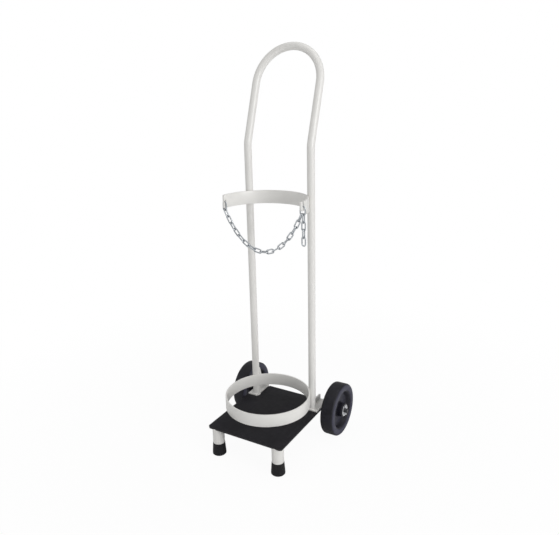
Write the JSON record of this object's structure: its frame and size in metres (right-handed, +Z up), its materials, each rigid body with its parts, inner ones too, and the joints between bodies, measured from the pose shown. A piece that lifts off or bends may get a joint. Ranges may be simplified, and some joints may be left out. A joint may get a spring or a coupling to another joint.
{
  "type": "gas bottle trolley",
  "caption": "Upright two-wheeled trolley for one gas bottle: bent tube frame with loop handle, bottle ring, half ring with retaining chain, base plate on two rubber feet.",
  "frame": {"origin": "on the floor under the centre of the bounding box", "axes": "+Z up, +Y towards the wheels and the back, +X to the right seen from the front"},
  "size_m": [0.359, 0.3434, 1.0737],
  "materials": {
    "painted_frame": "semi-gloss white powder coat",
    "plate_steel": "black paint",
    "mat_rubber": "matt black, fine grain",
    "foot_rubber": "matt black",
    "tyre_rubber": "smooth black tread",
    "wheel_plastic": "black moulded",
    "bush_plastic": "pale nylon",
    "chain_zinc": "bright zinc plate",
    "zinc_hardware": "zinc plate",
    "axle_steel": "dark steel"
  },
  "bodies": {
    "frame": {"axle": "axle_steel", "base_mat": "mat_rubber", "base_plate": "plate_steel", "frame_tube": "painted_frame", "left_axle_collar": "axle_steel", "left_gusset": "painted_frame", "left_inner_washer": "zinc_hardware", "left_leg": "painted_frame", "left_outer_washer": "zinc_hardware", "left_rubber_foot": "foot_rubber", "left_shoe": "painted_frame", "left_split_pin": "zinc_hardware", "lower_ring": "painted_frame", "right_axle_collar": "axle_steel", "right_gusset": "painted_frame", "right_inner_washer": "zinc_hardware", "right_leg": "painted_frame", "right_outer_washer": "zinc_hardware", "right_rubber_foot": "foot_rubber", "right_shoe": "painted_frame", "right_split_pin": "zinc_hardware", "upper_half_ring": "painted_frame"},
    "left_wheel": {"left_tyre": "tyre_rubber", "left_wheel_bush": "bush_plastic", "left_wheel_centre": "wheel_plastic"},
    "right_wheel": {"right_tyre": "tyre_rubber", "right_wheel_bush": "bush_plastic", "right_wheel_centre": "wheel_plastic"},
    "chain_loop": {"chain_hook_link": "chain_zinc", "chain_link_01": "chain_zinc", "chain_link_02": "chain_zinc", "chain_link_03": "chain_zinc", "chain_link_04": "chain_zinc", "chain_link_05": "chain_zinc", "chain_link_06": "chain_zinc", "chain_link_07": "chain_zinc", "chain_link_08": "chain_zinc", "chain_link_09": "chain_zinc", "chain_link_10": "chain_zinc", "chain_link_11": "chain_zinc", "chain_link_12": "chain_zinc", "chain_link_13": "chain_zinc", "chain_link_14": "chain_zinc", "chain_link_15": "chain_zinc", "chain_link_16": "chain_zinc", "chain_link_17": "chain_zinc", "chain_link_18": "chain_zinc"},
    "chain_tail": {"tail_link_01": "chain_zinc", "tail_link_02": "chain_zinc", "tail_link_03": "chain_zinc", "tail_link_04": "chain_zinc"}
  },
  "joints": [
    {"name": "left_wheel_spin", "type": "hinge", "parent": "frame", "child": "left_wheel", "pos_m": [-0.1465, 0.0965, 0.075], "axis": [1, 0, 0], "continuous": true},
    {"name": "right_wheel_spin", "type": "hinge", "parent": "frame", "child": "right_wheel", "pos_m": [0.1465, 0.0965, 0.075], "axis": [1, 0, 0], "continuous": true},
    {"name": "chain_swing", "type": "hinge", "parent": "frame", "child": "chain_loop", "pos_m": [-0.115, -0.04345, 0.68221], "axis": [0.9996, 0.0022, 0.0278], "range_deg": [-70, 8]},
    {"name": "tail_swing", "type": "hinge", "parent": "chain_loop", "child": "chain_tail", "pos_m": [0.115, -0.04295, 0.66572], "axis": [1, 0, 0], "range_deg": [-45, 45]}
  ]
}
